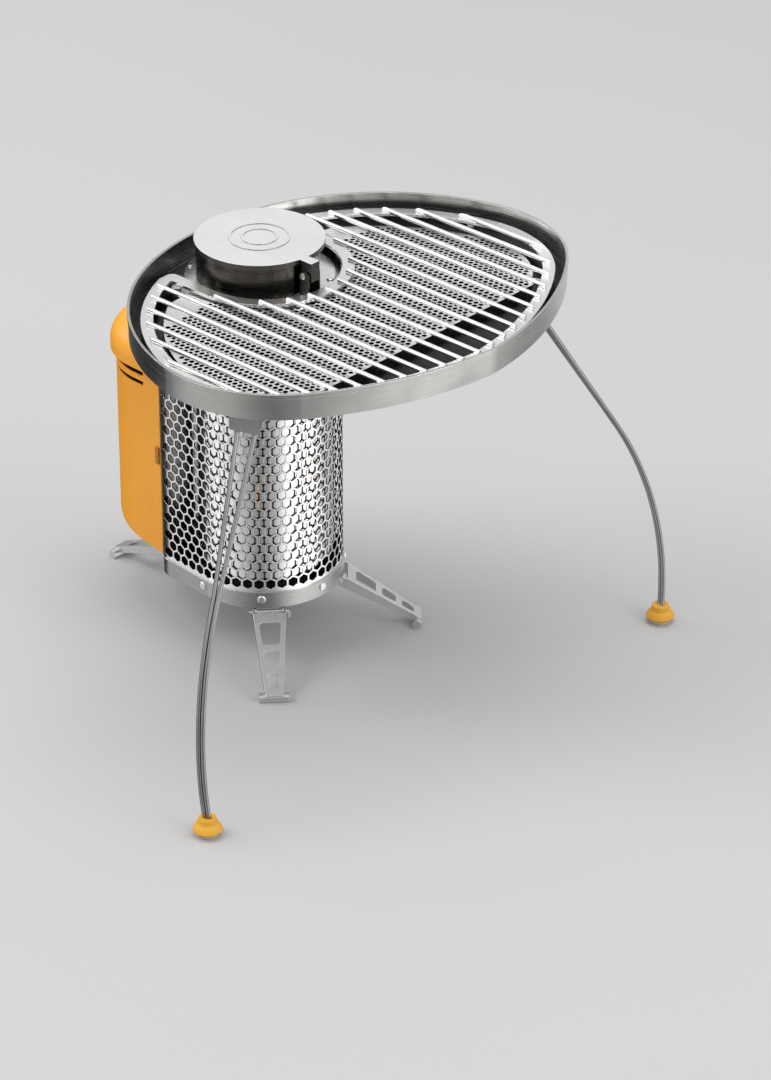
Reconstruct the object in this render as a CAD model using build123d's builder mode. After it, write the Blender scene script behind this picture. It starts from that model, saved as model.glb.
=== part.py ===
"""Wood-burning camp stove on three folding legs, with a clip-on fan unit and a detachable grill.

Millimetres. +X points from the stove's axis towards the far end of the grill, +Z is up, and the
ground is Z = 0. Plan positions are measured from the stove's upright axis.
"""

import os
from math import asin, atan2, cos, hypot, radians, sin, sqrt, tan

from build123d import *

os.makedirs("parts", exist_ok=True)

# The stove's axis, measured from the middle of the whole object's footprint.
STOVE_X, STOVE_Y = -32.23, 13.98
GAP = 0.3  # between bodies that come apart

# Heights above the ground.
RING_BOTTOM, RING_TOP = 42.0, 53.5
FLOOR_H = 46.5
SHELL_TOP = 246.0
PAN_FLOOR = 259.0
RIM_TOP = 276.6
GRATE_TOP = 268.5
LID_TOP = 286.8

# Stove body: round towards the grill, with flanks that close in to a flat back.
SHELL_R = 52.5
BACK_X, BACK_Y, BACK_CORNER = -50.5, 49.0, 12.0
SHEET = 0.8
JACKET_R, CHAMBER_R = 46.3, 38.8
RING_OUT, RING_SHEET = 0.8, 1.2
RIVET_ANGLES = (-96, -48, 0, 48, 96)
RIVET_H = 48.5

# Stove legs: pressed channels on cross pins under the base.
PIN_R, PIN_H, PIN_RADIUS = 50.5, 38.0, 1.2
LEG_SHEET, LEG_TOP_W, LEG_TOE_W, LEG_DEPTH = 1.2, 22.6, 12.0, 8.0
WEB_Z, TOE_R, TOE_W = 4.0, 3.0, 20.0
LEG_ANGLES = {"right": -42.8, "left": 42.8, "rear": 180.0}
TOE_REACH = {"right": 101.6, "left": 101.6, "rear": 136.0}

# Grill pan, seen from above: half an egg as tangent arcs, each a radius and a turn, from the middle
# of the blunt end. One more arc closes the half at the pointed end.
PAN_END_X = 200.0
PAN_ARCS = ((40.0, 4.5), (227.0, 33.0), (84.0, 65.0), (150.0, 60.0))
PAN_SHEET = 1.0
COLLAR_R = 45.2
HUB_PLATE_R, HUB_BORE_R, HUB_RIVET_R, HUB_HEAD_R = 48.6, 38.5, 46.2, 2.2

# Grate: a stamped frame with a U-shaped cut-out round the hub, and parallel rods.
GRATE_INSET, BAND_W, FRAME_T = 7.7, 8.0, 2.0
HUB_OPEN_X, HUB_OPEN_R, HORN_X, HORN_R = 6.0, 48.6, -31.0, 4.5
ROD_R, ROD_PITCH, ROD_SIDE = 1.6, 13.8, 10

# Diffuser: a flat middle panel and two wings that fall away from it.
RIDGE_Y0, RIDGE_SLOPE, DIFFUSER_END = 48.0, 0.418, 146.0
DIFFUSER_H, DIFFUSER_T, WING_TILT, WING_START, DIFFUSER_BORE = 264.4, 1.0, 3.6, -8.0, 52.2

# Shroud, fuel lid and its hinge.
SHROUD_R, SHROUD_OPEN = 41.2, (-14.0, 98.0)
LID_R, LID_T = 42.3, 1.2
LID_PIN_X, LID_PIN_H, LID_PIN_Y = 46.0, 277.0, -3.0

# Wire legs: twin strands, straight from the hinge and then bent back to stand upright.
WIRE_R, STRAND_GAP, WIRE_BEND = 1.5, 12.4, 1.9
BRACKET_X, BRACKET_Y, HINGE_H, HINGE_ANGLE = 111.0, 126.0, 242.0, 72.0
STRAIGHT, BEND_R, CLOSED_AT, CLOSING_R = 123.0, 183.0, 0.88, 60.0
WIRE_LEGS = {"right": (-1, 32.6, 3.3), "left": (1, 29.0, 15.0)}  # side, splay, lean to +X
WIRE_END_H, WIRE_TAIL = 10.0, 2.0

# Power unit.
MOD_FRONT_X, MOD_FRONT_Y, MOD_ARC_X, MOD_R = -51.8, 43.5, -75.3, 42.0
MOD_SEAM_X, MOD_TOP, MOD_WALL = -62.0, 184.0, 2.0
CAP_TOP, CAP_R, CAP_ROUND, CAP_HOLLOW = 207.0, 45.6, 18.0, 16.0
VENT_HEIGHTS, VENT_GAP = (172.5, 179.5), 3.0
PROBE_H, FAN_H = 165.0, 118.0


def level(height):
    """Level plane on the stove's axis."""
    return Plane((STOVE_X, STOVE_Y, height))


def upright(azimuth, x=0.0, y=0.0):
    """Upright plane through a plan point: local x points along the azimuth, local y up."""
    a = radians(azimuth)
    return Plane((STOVE_X + x, STOVE_Y + y, 0), x_dir=(cos(a), sin(a), 0), z_dir=(sin(a), -cos(a), 0))


def facing(x, height=0.0, y=0.0):
    """Upright plane across the stove's axis that faces +X: local x points to +Y, local y up."""
    return Plane((STOVE_X + x, STOVE_Y + y, height), x_dir=(0, 1, 0), z_dir=(1, 0, 0))


# Plan outlines -------------------------------------------------------------------------------

with BuildSketch() as shell_outline:
    with BuildLine():
        ThreePointArc((0, -SHELL_R), (SHELL_R, 0), (0, SHELL_R))
        Polyline((0, SHELL_R), (BACK_X, BACK_Y), (BACK_X, -BACK_Y), (0, -SHELL_R))
    make_face()
    fillet(shell_outline.vertices().group_by(Axis.X)[0], BACK_CORNER)

with BuildSketch() as pan_outline:
    with BuildLine() as pan_line:
        start, heading, left_to_turn = Vector(PAN_END_X, 0), Vector(0, 1), 180
        for radius, turn in PAN_ARCS:
            arc = JernArc(start, heading, radius, turn)
            start, heading, left_to_turn = arc @ 1, arc % 1, left_to_turn - turn
        JernArc(start, heading, -start.Y / heading.X, left_to_turn)
        mirror(pan_line.line, about=Plane.XZ)
    make_face()

with BuildSketch() as grate_outline:
    offset(pan_outline.sketch, amount=-GRATE_INSET)
    with Locations((HUB_OPEN_X, 0)):
        Circle(HUB_OPEN_R, mode=Mode.SUBTRACT)
        Rectangle(100, 2 * HUB_OPEN_R, align=(Align.MAX, Align.CENTER), mode=Mode.SUBTRACT)
    with Locations((HORN_X, 0)):
        Rectangle(100, 400, align=(Align.MAX, Align.CENTER), mode=Mode.SUBTRACT)
    fillet(grate_outline.vertices().group_by(Axis.X)[0], HORN_R)

with BuildSketch() as module_outline:
    with BuildLine():
        ThreePointArc((MOD_ARC_X, -MOD_R), (MOD_ARC_X - MOD_R, 0), (MOD_ARC_X, MOD_R))
        Polyline((MOD_ARC_X, MOD_R), (MOD_FRONT_X, MOD_FRONT_Y), (MOD_FRONT_X, -MOD_FRONT_Y),
                 (MOD_ARC_X, -MOD_R))
    make_face()


# Stove body ----------------------------------------------------------------------------------

with BuildPart() as base_ring:
    with BuildSketch(level(RING_BOTTOM)):
        offset(shell_outline.sketch, amount=RING_OUT)
        offset(shell_outline.sketch, amount=RING_OUT - RING_SHEET, mode=Mode.SUBTRACT)
    extrude(amount=RING_TOP - RING_BOTTOM)
base_ring.part.label = "base_ring"
export_step(base_ring.part, "parts/base_ring.step")

with BuildPart() as base_floor:
    with BuildSketch(level(FLOOR_H)):
        offset(shell_outline.sketch, amount=RING_OUT - RING_SHEET)
        with PolarLocations(22, 6):
            Circle(4, mode=Mode.SUBTRACT)
    extrude(amount=RING_SHEET)
base_floor.part.label = "base_floor"
export_step(base_floor.part, "parts/base_floor.step")


SHANK = 0.55  # of a rivet head's radius


def rivet_head(plane, radius, rise, sink):
    """Domed head on a plane, with a short shank behind it."""
    with BuildPart() as head:
        with BuildSketch(plane.offset(-sink)):
            Circle(radius * SHANK)
        extrude(amount=sink)
        with BuildSketch(plane):
            Circle(radius)
        extrude(amount=rise)
        fillet(head.edges().sort_by(lambda e: -(e.center() - plane.origin).dot(plane.z_dir))[0], rise * 0.8)
    return head.part


base_rivets = Compound(
    label="base_rivets",
    children=[
        rivet_head(Plane(upright(a).from_local_coords((SHELL_R + RING_OUT - 0.2, RIVET_H, 0)),
                         z_dir=(cos(radians(a)), sin(radians(a)), 0)), 2.9, 1.3, 1.0)
        for a in RIVET_ANGLES
    ],
)
export_step(base_rivets, "parts/base_rivets.step")

with BuildPart() as mesh_shell:
    with BuildSketch(level(RING_TOP)):
        add(shell_outline.sketch)
        offset(shell_outline.sketch, amount=-SHEET, mode=Mode.SUBTRACT)
    extrude(amount=SHELL_TOP - RING_TOP)
    with BuildSketch(facing(BACK_X - 5, PROBE_H)):
        Circle(4.8)
    extrude(amount=10, mode=Mode.SUBTRACT)
    with BuildSketch(facing(BACK_X - 5, FAN_H)):
        Circle(9.4)
    extrude(amount=10, mode=Mode.SUBTRACT)
mesh_shell.part.label = "mesh_shell"
export_step(mesh_shell.part, "parts/mesh_shell.step")

with BuildPart() as jacket:
    with BuildSketch(level(FLOOR_H + RING_SHEET)):
        Circle(JACKET_R)
        Circle(JACKET_R - SHEET, mode=Mode.SUBTRACT)
    extrude(amount=SHELL_TOP - FLOOR_H - RING_SHEET)
    with BuildSketch(facing(-60, PROBE_H)):
        Circle(4.8)
    extrude(amount=30, mode=Mode.SUBTRACT)
    with BuildSketch(facing(-60, FAN_H)):
        Circle(7)
    extrude(amount=30, mode=Mode.SUBTRACT)
jacket.part.label = "jacket"
export_step(jacket.part, "parts/jacket.step")

CHAMBER_FLOOR = 60.0
with BuildPart() as burn_chamber:
    with BuildSketch(level(CHAMBER_FLOOR)):
        Circle(CHAMBER_R)
    extrude(amount=SHELL_TOP - CHAMBER_FLOOR)
    with BuildSketch(level(CHAMBER_FLOOR + 1)):
        Circle(CHAMBER_R - SHEET)
    extrude(amount=SHELL_TOP, mode=Mode.SUBTRACT)
    for height, turn in ((75, 0), (228, 15)):
        for angle in range(turn, 360, 30):
            with BuildSketch(upright(angle + 90).offset(CHAMBER_R - 6)):
                with Locations((0, height)):
                    Circle(2.6)
            extrude(amount=10, mode=Mode.SUBTRACT)
    with BuildSketch(facing(-60, PROBE_H)):
        Circle(4.8)
    extrude(amount=30, mode=Mode.SUBTRACT)
burn_chamber.part.label = "burn_chamber"
export_step(burn_chamber.part, "parts/burn_chamber.step")

with BuildPart() as chamber_plate:
    with BuildSketch(level(CHAMBER_FLOOR + 1)):
        Circle(CHAMBER_R - SHEET - 0.1)
        for radius, count in ((12, 6), (23, 12)):
            with PolarLocations(radius, count):
                Circle(2.2, mode=Mode.SUBTRACT)
    extrude(amount=SHEET)
chamber_plate.part.label = "chamber_plate"
export_step(chamber_plate.part, "parts/chamber_plate.step")

with BuildPart() as chamber_stand:
    with BuildSketch(level(FLOOR_H + RING_SHEET)):
        Circle(30)
        Circle(28.8, mode=Mode.SUBTRACT)
    extrude(amount=CHAMBER_FLOOR - FLOOR_H - RING_SHEET)
chamber_stand.part.label = "chamber_stand"
export_step(chamber_stand.part, "parts/chamber_stand.step")

with BuildPart() as top_ring:
    with BuildSketch(level(SHELL_TOP)):
        add(shell_outline.sketch)
        Circle(CHAMBER_R - SHEET, mode=Mode.SUBTRACT)
    extrude(amount=SHEET)
    with BuildSketch(level(SHELL_TOP)):
        Circle(COLLAR_R - 1.6 - GAP)
        Circle(COLLAR_R - 2.6 - GAP, mode=Mode.SUBTRACT)
    extrude(amount=5)
top_ring.part.label = "top_ring"
export_step(top_ring.part, "parts/top_ring.step")


# Stove legs ----------------------------------------------------------------------------------

def leg_frame(side):
    """Frame on a leg's pin, local x towards the toe, local z out of the web; and its length."""
    a = radians(LEG_ANGLES[side])
    run, fall = TOE_REACH[side] - PIN_R, PIN_H - TOE_R
    slope = atan2(fall, run)
    pin = (STOVE_X + PIN_R * cos(a), STOVE_Y + PIN_R * sin(a), PIN_H)
    along = Vector(cos(a) * cos(slope), sin(a) * cos(slope), -sin(slope))
    normal = Vector(cos(a) * sin(slope), sin(a) * sin(slope), cos(slope))
    return Plane(pin, x_dir=along, z_dir=normal), hypot(run, fall)


def taper(along, length, inset=0.0):
    """Half width of a leg at a distance from its pin."""
    return (LEG_TOP_W + (LEG_TOE_W - LEG_TOP_W) * along / length) / 2 - inset


def strip(start, end, length, inset):
    """Corners of a leg's web between two distances, inset from its tapering edges."""
    a, b = taper(start, length, inset), taper(end, length, inset)
    return (start, -a), (end, -b), (end, b), (start, a)


def stove_leg(side):
    """Channel leg: web, two flanges pierced for the pin, lightening holes and a rolled toe."""
    frame, length = leg_frame(side)
    profile = Plane(frame.origin, x_dir=frame.x_dir, z_dir=-frame.y_dir)
    root = 3.4
    with BuildPart() as leg:
        with BuildSketch(frame.offset(WEB_Z - LEG_DEPTH)):
            Polygon(*strip(-root, length, length, 0), align=None)
        extrude(amount=LEG_DEPTH)
        with BuildSketch(frame.offset(WEB_Z - LEG_DEPTH)):
            Polygon(*strip(-root, length, length, LEG_SHEET), align=None)
        extrude(amount=LEG_DEPTH - LEG_SHEET, mode=Mode.SUBTRACT)
        with BuildSketch(frame.offset(-WEB_Z)):
            Polygon(*strip(-root, root, length, LEG_SHEET), align=None)
        extrude(amount=3 * WEB_Z, mode=Mode.SUBTRACT)
        with BuildSketch(profile) as outline:
            with BuildLine():
                Polyline((root, WEB_Z), (length, WEB_Z), (length, WEB_Z - 4), (root, WEB_Z - LEG_DEPTH + 0.4),
                         (0, -root), (0, root), (root, WEB_Z))
            make_face()
            Circle(root)
        extrude(amount=LEG_TOP_W, both=True, mode=Mode.INTERSECT)
        for start, end in ((0.16, 0.42), (0.50, 0.68), (0.76, 0.92)):
            with BuildSketch(frame) as window:
                Polygon(*strip(start * length, end * length, length, LEG_SHEET + 1.9), align=None)
                fillet(window.vertices(), 2.2)
            extrude(amount=2 * WEB_Z, mode=Mode.SUBTRACT)
        with BuildSketch(profile):
            with Locations((length, 0)):
                Circle(TOE_R)
        extrude(amount=TOE_W / 2, both=True)
        with BuildSketch(profile):
            with Locations((length, WEB_Z / 2)):
                Rectangle(2.4, WEB_Z)
        extrude(amount=LEG_TOE_W / 2, both=True)
        with BuildSketch(profile):
            Circle(PIN_RADIUS + 0.05)
        extrude(amount=LEG_TOP_W, both=True, mode=Mode.SUBTRACT)
    leg.part.label = f"stove_leg_{side}"
    return leg.part


for side in LEG_ANGLES:
    export_step(stove_leg(side), f"parts/stove_leg_{side}.step")


def leg_bracket(side):
    """U-bracket under the base: two ears on the pin inside a leg's flanges."""
    plane = upright(LEG_ANGLES[side])
    ear = LEG_TOP_W / 2 - LEG_SHEET - 0.5
    with BuildPart() as bracket:
        with BuildSketch(plane):
            with Locations((PIN_R, PIN_H)):
                Circle(3.2)
            with Locations((PIN_R - 2.5, (PIN_H + FLOOR_H) / 2)):
                Rectangle(4, FLOOR_H - PIN_H)
        extrude(amount=ear, both=True)
        with BuildSketch(plane):
            with Locations((PIN_R, (PIN_H + FLOOR_H) / 2 - 5.5)):
                Rectangle(14, FLOOR_H - PIN_H + 8.6)
        extrude(amount=ear - 1.2, both=True, mode=Mode.SUBTRACT)
        with BuildSketch(plane):
            with Locations((PIN_R, PIN_H)):
                Circle(PIN_RADIUS)
        extrude(amount=ear, both=True, mode=Mode.SUBTRACT)
    return bracket.part


def leg_pin(side):
    """Hinge pin with a bent tail at one end."""
    with BuildPart() as pin:
        with BuildSketch(upright(LEG_ANGLES[side])):
            with Locations((PIN_R, PIN_H)):
                Circle(PIN_RADIUS)
        extrude(amount=LEG_TOP_W / 2 + 1.8, both=True)
        with BuildSketch(upright(LEG_ANGLES[side]).offset(-LEG_TOP_W / 2 - 1.2)):
            with Locations((PIN_R, PIN_H)):
                Rectangle(1.6, 5, align=(Align.CENTER, Align.MAX))
        extrude(amount=-1.6)
    return pin.part


leg_brackets = Compound(label="leg_brackets", children=[leg_bracket(side) for side in LEG_ANGLES])
export_step(leg_brackets, "parts/leg_brackets.step")
leg_pins = Compound(label="leg_pins", children=[leg_pin(side) for side in LEG_ANGLES])
export_step(leg_pins, "parts/leg_pins.step")


# Grill pan -----------------------------------------------------------------------------------

with BuildPart() as pan:
    with BuildSketch(level(PAN_FLOOR)):
        add(pan_outline.sketch)
    extrude(amount=RIM_TOP - PAN_FLOOR)
    with BuildSketch(level(PAN_FLOOR + PAN_SHEET)):
        offset(pan_outline.sketch, amount=-PAN_SHEET)
    extrude(amount=RIM_TOP, mode=Mode.SUBTRACT)
    with BuildSketch(level(RIM_TOP - 3)):
        offset(pan_outline.sketch, amount=0.7)
        offset(pan_outline.sketch, amount=-0.2, mode=Mode.SUBTRACT)
    extrude(amount=3)
    with BuildSketch(level(PAN_FLOOR)):
        Circle(COLLAR_R)
    extrude(amount=PAN_SHEET, mode=Mode.SUBTRACT)
pan.part.label = "pan"
export_step(pan.part, "parts/pan.step")

with BuildPart() as pan_collar:
    with BuildSketch(level(SHELL_TOP + SHEET + GAP)):
        Circle(COLLAR_R)
        Circle(COLLAR_R - 1.2, mode=Mode.SUBTRACT)
    extrude(amount=PAN_FLOOR + PAN_SHEET - SHELL_TOP - SHEET - GAP)
pan_collar.part.label = "pan_collar"
export_step(pan_collar.part, "parts/pan_collar.step")

with BuildPart() as hub_plate:
    with BuildSketch(level(PAN_FLOOR + PAN_SHEET)):
        Circle(HUB_PLATE_R)
        Circle(HUB_BORE_R, mode=Mode.SUBTRACT)
        with PolarLocations(HUB_RIVET_R, 6, start_angle=30):
            Circle(HUB_HEAD_R * SHANK, mode=Mode.SUBTRACT)
    extrude(amount=PAN_SHEET)
hub_plate.part.label = "hub_plate"
export_step(hub_plate.part, "parts/hub_plate.step")

HUB_TOP = PAN_FLOOR + 2 * PAN_SHEET
hub_rivets = Compound(
    label="hub_rivets",
    children=[
        rivet_head(Plane(upright(a).from_local_coords((HUB_RIVET_R, HUB_TOP, 0)), z_dir=(0, 0, 1)),
                   HUB_HEAD_R, 1.0, 1.0)
        for a in range(30, 360, 60)
    ],
)
export_step(hub_rivets, "parts/hub_rivets.step")

with BuildPart() as hub_shroud:
    with BuildSketch(level(HUB_TOP)):
        Circle(SHROUD_R)
        Circle(SHROUD_R - PAN_SHEET, mode=Mode.SUBTRACT)
        with BuildLine():
            opening = [(2 * SHROUD_R * cos(radians(a)), 2 * SHROUD_R * sin(radians(a)))
                       for a in (SHROUD_OPEN[0], sum(SHROUD_OPEN) / 2, SHROUD_OPEN[1])]
            Polyline((0, 0), *opening, close=True)
        make_face(mode=Mode.SUBTRACT)
    extrude(amount=LID_TOP - LID_T - GAP - HUB_TOP)
hub_shroud.part.label = "hub_shroud"
export_step(hub_shroud.part, "parts/hub_shroud.step")

KNUCKLE_W, EAR_T = 7.4, 1.0
with BuildPart() as lid_ears:
    for y in (LID_PIN_Y - KNUCKLE_W / 2 - 0.5 - EAR_T, LID_PIN_Y + KNUCKLE_W / 2 + 0.5):
        with BuildSketch(upright(0, y=y)) as ear_side:
            with Locations((LID_PIN_X + 1, HUB_TOP)):
                Rectangle(8, LID_PIN_H + 3 - HUB_TOP, align=(Align.CENTER, Align.MIN))
            fillet(ear_side.vertices().group_by(Axis.Y)[-1], 3.5)
            with Locations((LID_PIN_X, LID_PIN_H)):
                Circle(PIN_RADIUS, mode=Mode.SUBTRACT)
        extrude(amount=-EAR_T)
    with BuildSketch(level(HUB_TOP)):
        with Locations((LID_PIN_X + 1, LID_PIN_Y)):
            Rectangle(8, KNUCKLE_W + 1 + 2 * EAR_T)
    extrude(amount=EAR_T)
lid_ears.part.label = "lid_ears"
export_step(lid_ears.part, "parts/lid_ears.step")

with BuildPart() as lid_pin:
    with BuildSketch(upright(0, y=LID_PIN_Y)):
        with Locations((LID_PIN_X, LID_PIN_H)):
            Circle(PIN_RADIUS)
    extrude(amount=KNUCKLE_W / 2 + 0.5 + EAR_T, both=True)
    for way in (1, -1):
        with BuildSketch(upright(0, y=LID_PIN_Y - way * (KNUCKLE_W / 2 + 0.5 + EAR_T))):
            with Locations((LID_PIN_X, LID_PIN_H)):
                Circle(2.2)
        extrude(amount=0.9 * way)
lid_pin.part.label = "lid_pin"
export_step(lid_pin.part, "parts/lid_pin.step")

TAB_END = 52.0
with BuildPart() as fuel_lid:
    with BuildSketch(level(LID_TOP - LID_T)):
        Circle(LID_R)
        with Locations((0, LID_PIN_Y)):
            Rectangle(TAB_END, KNUCKLE_W, align=(Align.MIN, Align.CENTER))
    extrude(amount=LID_T)
    with BuildSketch(level(LID_TOP - LID_T - 2.2)):
        Circle(LID_R)
        Circle(SHROUD_R + GAP, mode=Mode.SUBTRACT)
    extrude(amount=2.2)
    with BuildSketch(level(LID_TOP)):
        Circle(20)
        Circle(18.6, mode=Mode.SUBTRACT)
        Circle(12)
        Circle(10.6, mode=Mode.SUBTRACT)
    extrude(amount=0.4)
    with BuildSketch(upright(0, y=LID_PIN_Y)):
        with Locations((TAB_END, LID_TOP)):
            Rectangle(TAB_END - LID_PIN_X + 3, LID_TOP - LID_PIN_H + 3.2, align=(Align.MAX, Align.MAX))
    extrude(amount=KNUCKLE_W / 2, both=True)
    with BuildSketch(upright(0, y=LID_PIN_Y)):
        with Locations((TAB_END - LID_T, LID_TOP - LID_T)):
            Rectangle(TAB_END, LID_TOP, align=(Align.MAX, Align.MAX))
    extrude(amount=KNUCKLE_W / 2 - LID_T, both=True, mode=Mode.SUBTRACT)
    with BuildSketch(upright(0, y=LID_PIN_Y)):
        with Locations((LID_PIN_X, LID_PIN_H)):
            Circle(PIN_RADIUS + 0.05)
    extrude(amount=KNUCKLE_W, both=True, mode=Mode.SUBTRACT)
fuel_lid.part.label = "fuel_lid"
export_step(fuel_lid.part, "parts/fuel_lid.step")


# Grate and diffuser --------------------------------------------------------------------------

with BuildPart() as grate_frame:
    with BuildSketch(level(GRATE_TOP - FRAME_T)):
        add(grate_outline.sketch)
        offset(grate_outline.sketch, amount=-BAND_W, mode=Mode.SUBTRACT)
    extrude(amount=FRAME_T)
grate_frame.part.label = "grate_frame"
export_step(grate_frame.part, "parts/grate_frame.step")

ROD_SINK, ROD_LAP = 0.6, 4.5
with BuildPart() as rod_field:
    with BuildSketch(level(GRATE_TOP - FRAME_T)):
        offset(grate_outline.sketch, amount=ROD_LAP - BAND_W)
    extrude(amount=2 * FRAME_T + 2 * ROD_R)

with BuildPart() as grate_rods:
    for step in range(-ROD_SIDE, ROD_SIDE + 1):
        y = step * ROD_PITCH
        hub_reach = (HUB_OPEN_R + BAND_W) ** 2 - y**2
        start = HUB_OPEN_X + sqrt(hub_reach) - ROD_LAP if hub_reach > 0 else HORN_X
        with BuildSketch(facing(start, GRATE_TOP + ROD_R - ROD_SINK, y)):
            Circle(ROD_R)
        extrude(amount=PAN_END_X - start)
    add(rod_field.part, mode=Mode.INTERSECT)
grate_rods.part.label = "grate_rods"
export_step(grate_rods.part, "parts/grate_rods.step")


def ridge(x):
    """Distance from the mid line of the crease between the diffuser's panel and a wing."""
    return RIDGE_Y0 + RIDGE_SLOPE * x


with BuildPart() as diffuser_panel:
    with BuildSketch(level(DIFFUSER_H)):
        with BuildLine():
            Polyline((WING_START, -ridge(WING_START)), (DIFFUSER_END, -ridge(DIFFUSER_END)),
                     (DIFFUSER_END, ridge(DIFFUSER_END)), (WING_START, ridge(WING_START)), close=True)
        make_face()
        Circle(DIFFUSER_BORE, mode=Mode.SUBTRACT)
        Rectangle(200, 80, align=(Align.MAX, Align.CENTER), mode=Mode.SUBTRACT)
    extrude(amount=DIFFUSER_T)


def diffuser_wing(side):
    """Perforated wing that falls away from the crease, cut to the pan's outline."""
    crease = Vector(1, side * RIDGE_SLOPE, 0).normalized()
    tilt = radians(WING_TILT)
    outward = Vector(-side * crease.Y, side * crease.X, 0) * cos(tilt) - Vector(0, 0, sin(tilt))
    foot = (STOVE_X, STOVE_Y + side * RIDGE_Y0, DIFFUSER_H)
    slope = Plane(foot, x_dir=crease, z_dir=crease.cross(outward) * side)
    with BuildPart() as wing:
        with BuildSketch(slope):
            with Locations((0, -side)):
                Rectangle(500, 300, align=(Align.CENTER, Align.MIN if side > 0 else Align.MAX))
        extrude(amount=DIFFUSER_T)
        with BuildSketch(level(DIFFUSER_H - 20)):
            offset(pan_outline.sketch, amount=-22)
            with Locations((DIFFUSER_END, 0)):
                Rectangle(100, 400, align=(Align.MIN, Align.CENTER), mode=Mode.SUBTRACT)
            with Locations((WING_START, 0)):
                Rectangle(100, 400, align=(Align.MAX, Align.CENTER), mode=Mode.SUBTRACT)
            Circle(DIFFUSER_BORE, mode=Mode.SUBTRACT)
        extrude(amount=40, mode=Mode.INTERSECT)
    return wing.part


with BuildPart() as diffuser:
    add(diffuser_panel.part)
    add(diffuser_wing(1))
    add(diffuser_wing(-1))
diffuser.part.label = "diffuser"
export_step(diffuser.part, "parts/diffuser.step")

with BuildPart() as diffuser_posts:
    with BuildSketch(level(PAN_FLOOR + PAN_SHEET)):
        with Locations((62, 40), (62, -40), (132, 62), (132, -62)):
            Circle(3)
    extrude(amount=DIFFUSER_H - PAN_FLOOR - PAN_SHEET)
diffuser_posts.part.label = "diffuser_posts"
export_step(diffuser_posts.part, "parts/diffuser_posts.step")


with BuildPart() as grate_rests:
    with BuildSketch(level(PAN_FLOOR + PAN_SHEET)):
        for x, y in ((-18, 58), (60, 137), (150, 111)):
            with Locations((x, y), (x, -y)):
                Circle(3)
    extrude(amount=GRATE_TOP - FRAME_T - GAP - PAN_FLOOR - PAN_SHEET)
grate_rests.part.label = "grate_rests"
export_step(grate_rests.part, "parts/grate_rests.step")


# Wire legs -----------------------------------------------------------------------------------

BOX_W, BOX_DEPTH, BOX_BOTTOM, BOX_SHEET, BOX_FRONT = 20.0, 16.0, 238.6, 1.2, 5.2


def wire_plane(side):
    """Upright plane square to a wire leg's hinge: local x outwards, local z along the hinge."""
    return upright(side * HINGE_ANGLE, BRACKET_X, side * BRACKET_Y)


def leg_bracket_box(side):
    """Folded box under the pan that carries a wire leg on a barrel between its strands."""
    plane = wire_plane(side)
    height = PAN_FLOOR - BOX_BOTTOM
    with BuildPart() as box:
        with BuildSketch(plane):
            with Locations((BOX_FRONT + BOX_SHEET, PAN_FLOOR)):
                Rectangle(BOX_SHEET, height, align=(Align.MAX, Align.MAX))
                Rectangle(BOX_DEPTH, BOX_SHEET, align=(Align.MAX, Align.MAX))
        extrude(amount=BOX_W / 2, both=True)
        for way in (1, -1):
            with BuildSketch(plane.offset(way * (BOX_W / 2 - BOX_SHEET))):
                with BuildLine():
                    Polyline((BOX_FRONT + BOX_SHEET, PAN_FLOOR), (BOX_FRONT + BOX_SHEET, BOX_BOTTOM),
                             (BOX_FRONT - 4, BOX_BOTTOM + 5),
                             (BOX_FRONT + BOX_SHEET - BOX_DEPTH, PAN_FLOOR), close=True)
                make_face()
            extrude(amount=way * BOX_SHEET)
        with BuildSketch(plane):
            with Locations((0, HINGE_H)):
                Circle(WIRE_R + 1.6)
                Rectangle(2.4, PAN_FLOOR - HINGE_H, align=(Align.CENTER, Align.MIN))
        extrude(amount=STRAND_GAP / 2 - WIRE_R - 1.1, both=True)
        with BuildSketch(plane):
            with Locations((0, HINGE_H)):
                Circle(WIRE_R + 0.05)
        extrude(amount=BOX_W, both=True, mode=Mode.SUBTRACT)
    return box.part


def bracket_rivets_under(side):
    """Two rivet heads that hold a bracket box to the pan's underside."""
    plane, height = wire_plane(side), PAN_FLOOR - BOX_SHEET
    places = [plane.from_local_coords((-5.5, height, across)) for across in (-5.5, 5.5)]
    return [rivet_head(Plane(place, z_dir=(0, 0, -1)), 2.2, 1.0, 1.0) for place in places]


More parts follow.
